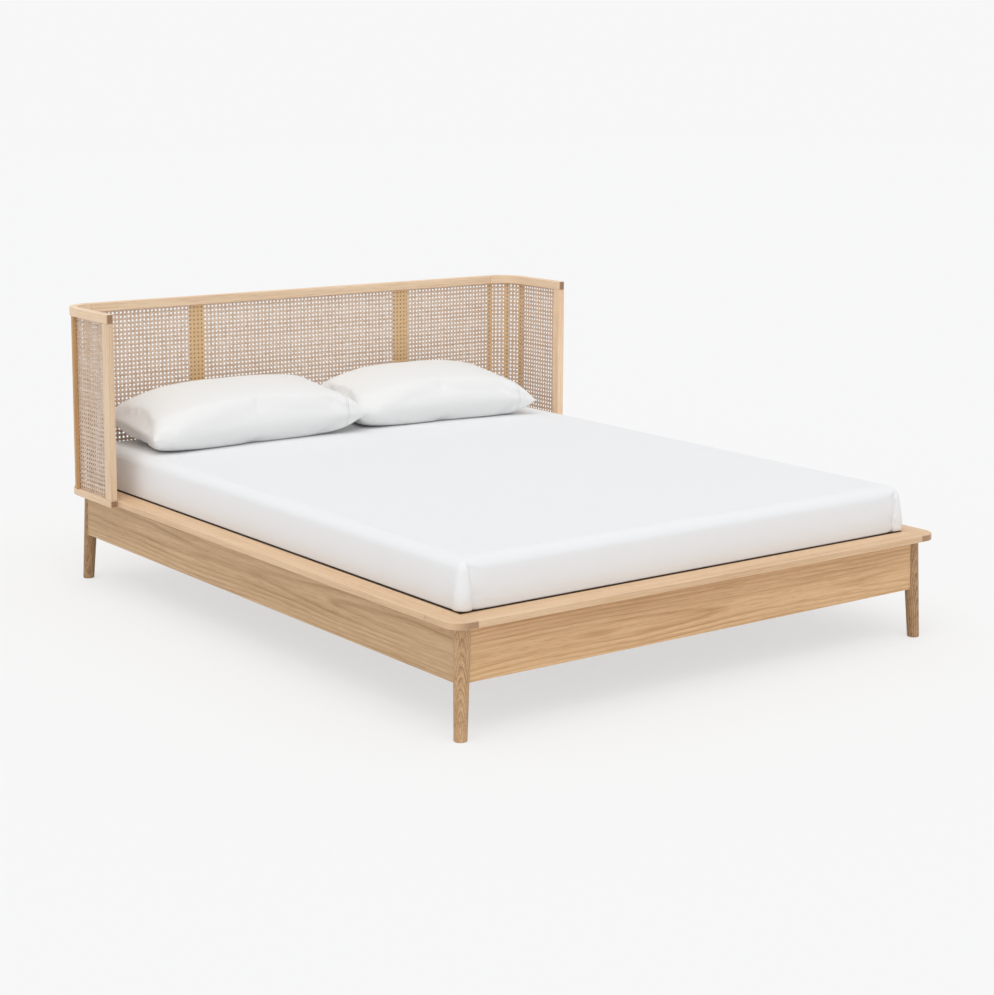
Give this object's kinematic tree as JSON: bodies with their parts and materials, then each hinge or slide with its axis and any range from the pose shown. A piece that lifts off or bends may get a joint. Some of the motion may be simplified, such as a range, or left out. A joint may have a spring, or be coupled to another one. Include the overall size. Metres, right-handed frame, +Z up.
{
  "type": "king size bed with wrap-round cane headboard",
  "caption": "Low platform bed: an oak frame with a ledge round the mattress, turned splayed legs, and a cane headboard whose rounded corners wrap forward as short wings.",
  "frame": {"origin": "on the floor, under the middle of the bed's length and width", "axes": "+Z up, +Y towards the headboard, +X to the right of someone who stands at the foot and looks at the headboard"},
  "size_m": [1.7946, 2.117, 0.895],
  "materials": {
    "oak": "satin",
    "leg_oak": "satin",
    "batten": "satin",
    "pine": "matte",
    "cane": "satin",
    "steel": "satin",
    "nylon": "matte",
    "sheet": "matte",
    "pillowcase": "matte"
  },
  "bodies": {
    "bed_frame": {"leg_foot_right": "leg_oak", "leg_foot_left": "leg_oak", "leg_head_right": "leg_oak", "leg_head_left": "leg_oak", "side_rail_right": "oak", "side_rail_left": "oak", "foot_rail": "oak", "head_rail": "oak", "ledge_corner_right": "oak", "ledge_corner_left": "oak", "side_ledge_right": "oak", "side_ledge_left": "oak", "foot_ledge": "oak", "slat_ledger_right": "pine", "slat_ledger_left": "pine", "centre_beam": "pine", "beam_shoe_foot": "steel", "beam_shoe_head": "steel", "centre_leg_foot": "pine", "centre_leg_head": "pine", "slat_01": "pine", "slat_02": "pine", "slat_03": "pine", "slat_04": "pine", "slat_05": "pine", "slat_06": "pine", "slat_07": "pine", "slat_08": "pine", "slat_09": "pine", "slat_10": "pine", "slat_11": "pine", "slat_12": "pine", "slat_13": "pine", "corner_plate_foot_right": "steel", "corner_plate_foot_left": "steel", "corner_plate_head_right": "steel", "corner_plate_head_left": "steel", "headboard_top_rail": "oak", "headboard_bottom_rail": "oak", "headboard_top_bend_right": "oak", "headboard_top_bend_left": "oak", "headboard_bottom_bend_right": "oak", "headboard_bottom_bend_left": "oak", "headboard_stile_right": "oak", "headboard_stile_left": "oak", "back_batten_left": "batten", "back_batten_right": "batten", "corner_batten_back_left": "batten", "corner_batten_middle_left": "batten", "corner_batten_wing_left": "batten", "corner_batten_back_right": "batten", "corner_batten_middle_right": "batten", "corner_batten_wing_right": "batten", "cane_webbing": "cane", "cane_spline": "cane"},
    "mattress": {"mattress": "sheet"},
    "pillow_left": {"pillow_left": "pillowcase"},
    "pillow_right": {"pillow_right": "pillowcase"},
    "screw_foot_foot": {"screw_foot_foot": "nylon"},
    "screw_foot_head": {"screw_foot_head": "nylon"}
  },
  "joints": [
    {"name": "mattress_lift", "type": "slide", "parent": "bed_frame", "child": "mattress", "axis": [0, 0, 1], "range_m": [0, 0.65]},
    {"name": "pillow_left_lift", "type": "slide", "parent": "mattress", "child": "pillow_left", "axis": [0, 0, 1], "range_m": [0, 0.3]},
    {"name": "pillow_right_lift", "type": "slide", "parent": "mattress", "child": "pillow_right", "axis": [0, 0, 1], "range_m": [0, 0.3]},
    {"name": "screw_foot_foot_screw", "type": "slide", "parent": "bed_frame", "child": "screw_foot_foot", "axis": [0, 0, 1], "range_m": [0, 0.01]},
    {"name": "screw_foot_head_screw", "type": "slide", "parent": "bed_frame", "child": "screw_foot_head", "axis": [0, 0, 1], "range_m": [0, 0.01]}
  ]
}
